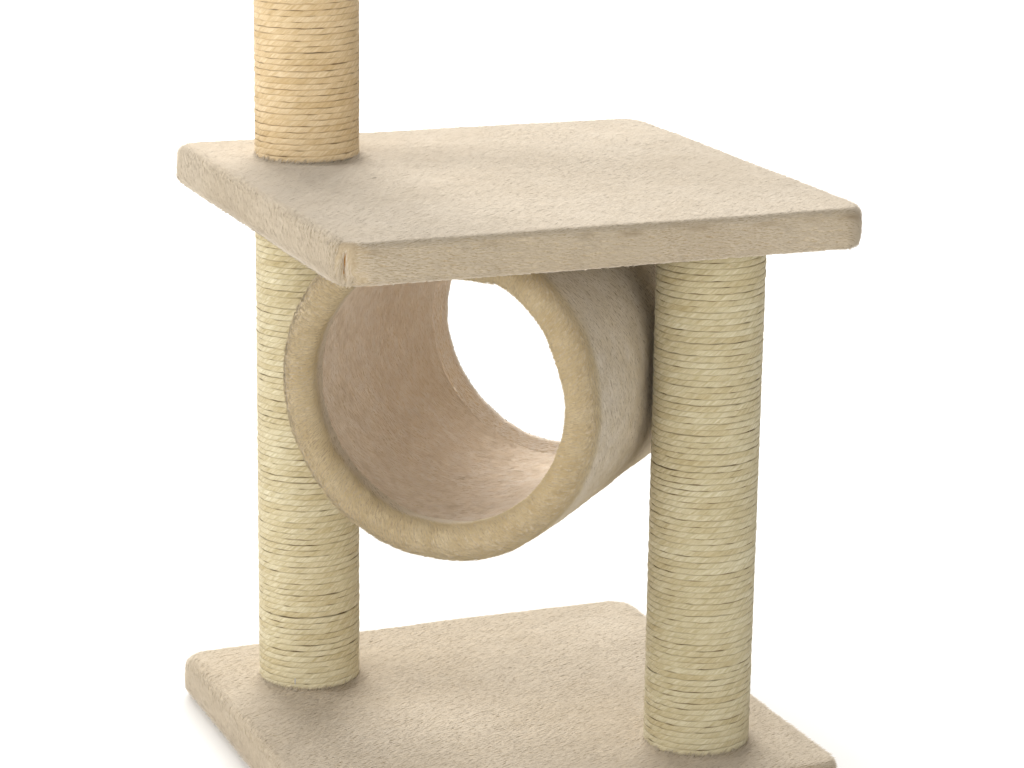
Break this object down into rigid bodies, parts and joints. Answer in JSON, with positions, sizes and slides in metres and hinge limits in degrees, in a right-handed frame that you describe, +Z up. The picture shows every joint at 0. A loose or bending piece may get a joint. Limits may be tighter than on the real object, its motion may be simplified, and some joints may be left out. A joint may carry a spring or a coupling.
{
  "type": "cat tree",
  "caption": "Two-level cat tree: square plush base and platform on rope-wound posts, a plush tunnel slung diagonally between them, and a third post with a small perch.",
  "frame": {"origin": "centre of the base's footprint, on the floor", "axes": "+Z up; X and Y along the plates' edges; the tunnel runs from the -X -Y corner to the +X +Y corner, the left and upper posts stand at -X +Y and the right post at +X -Y"},
  "size_m": [0.35, 0.35, 0.764],
  "materials": {
    "plush": "short-pile beige plush",
    "lining": "short-pile pinkish brown plush",
    "sisal": "twisted sisal rope",
    "particle_board": "raw pressed particle board",
    "cardboard": "spiral-wound cardboard tube",
    "turned_wood": "raw turned softwood",
    "zinc_steel": "zinc-plated steel"
  },
  "bodies": {
    "root": {"base_board": "particle_board", "base_bolts": "zinc_steel", "base_cover": "plush", "base_staples": "zinc_steel", "base_washers": "zinc_steel", "left_post_bottom_plug": "turned_wood", "left_post_rope": "sisal", "left_post_top_plug": "turned_wood", "left_post_tube": "cardboard", "perch_board": "particle_board", "perch_captive_nut": "zinc_steel", "perch_cover": "plush", "perch_staples": "zinc_steel", "perch_under_panel": "plush", "platform_board": "particle_board", "platform_captive_nut": "zinc_steel", "platform_cover": "plush", "platform_staples": "zinc_steel", "platform_under_panel": "plush", "post_captive_nuts": "zinc_steel", "right_post_bottom_plug": "turned_wood", "right_post_rope": "sisal", "right_post_stud": "zinc_steel", "right_post_top_plug": "turned_wood", "right_post_tube": "cardboard", "rope_staples": "zinc_steel", "through_stud": "zinc_steel", "tunnel_bolts": "zinc_steel", "tunnel_captive_nuts": "zinc_steel", "tunnel_lining": "lining", "tunnel_outer_plush": "plush", "tunnel_tube": "cardboard", "tunnel_washers": "zinc_steel", "upper_post_bottom_plug": "turned_wood", "upper_post_rope": "sisal", "upper_post_stud": "zinc_steel", "upper_post_top_plug": "turned_wood", "upper_post_tube": "cardboard"}
  },
  "joints": []
}
